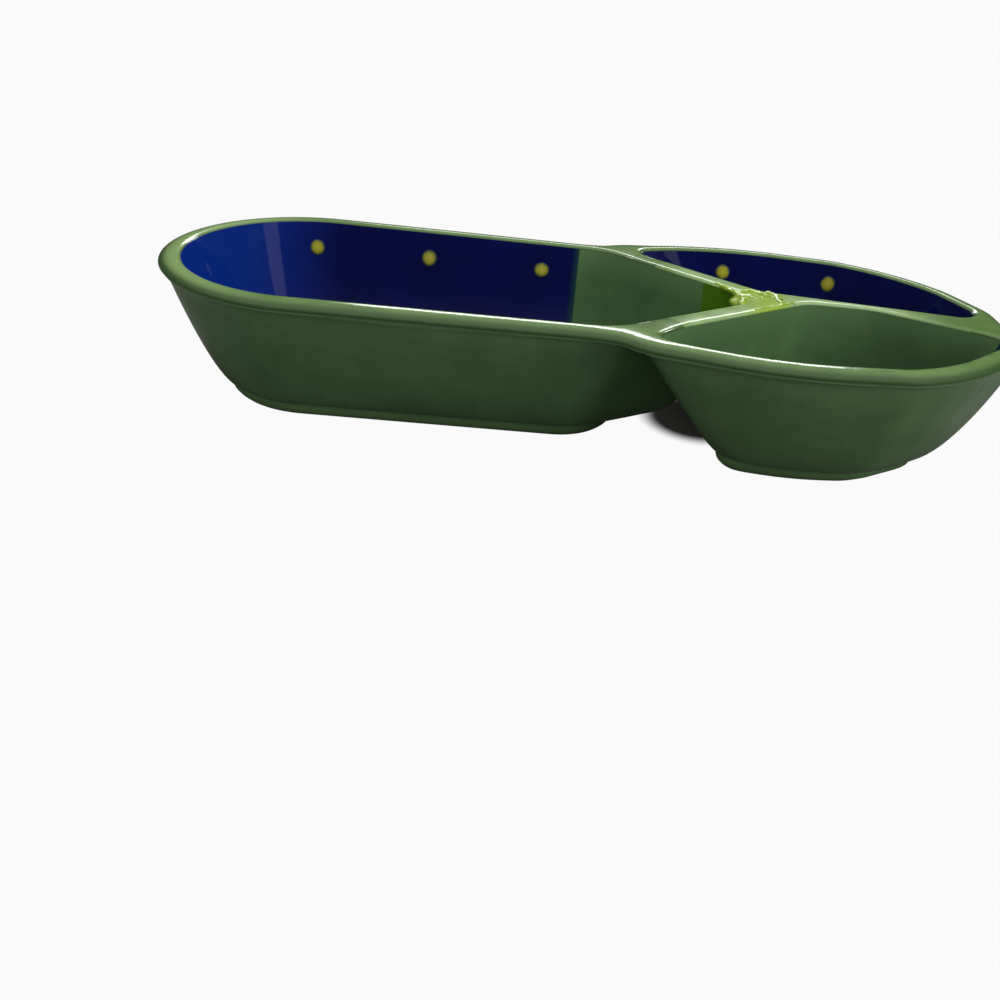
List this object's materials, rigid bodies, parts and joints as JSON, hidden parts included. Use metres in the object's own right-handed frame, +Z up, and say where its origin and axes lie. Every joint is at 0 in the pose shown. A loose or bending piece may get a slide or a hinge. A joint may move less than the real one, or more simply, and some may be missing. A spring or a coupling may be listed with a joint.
{
  "type": "olive dish",
  "caption": "Long glazed ceramic olive dish with a stadium-shaped bowl and a pair of small side bowls under one shared rounded rim, each on its own foot.",
  "frame": {"origin": "middle of the dish's bounding box, on the surface it stands on", "axes": "+X along the long axis to the pair of small bowls, +Y to the back, +Z up through the openings"},
  "size_m": [0.298, 0.131, 0.0495],
  "materials": {
    "green_glaze": "gloss glaze",
    "foot_glaze": "gloss glaze",
    "rim_glaze": "gloss glaze",
    "ridge_glaze": "gloss glaze",
    "lime_glaze": "gloss glaze",
    "blue_glaze": "gloss glaze",
    "yellow_slip": "gloss glaze over slip"
  },
  "bodies": {
    "root": {"long_bowl": "green_glaze", "front_bowl": "green_glaze", "back_bowl": "green_glaze", "long_foot": "foot_glaze", "front_foot": "foot_glaze", "back_foot": "foot_glaze", "outer_rim": "rim_glaze", "front_divider": "ridge_glaze", "back_divider": "ridge_glaze", "end_divider": "ridge_glaze", "centre_knot": "lime_glaze", "long_blue_coat": "blue_glaze", "front_blue_coat": "blue_glaze", "back_blue_coat": "blue_glaze", "long_dots": "yellow_slip", "front_dots": "yellow_slip", "back_dots": "yellow_slip"}
  },
  "joints": []
}
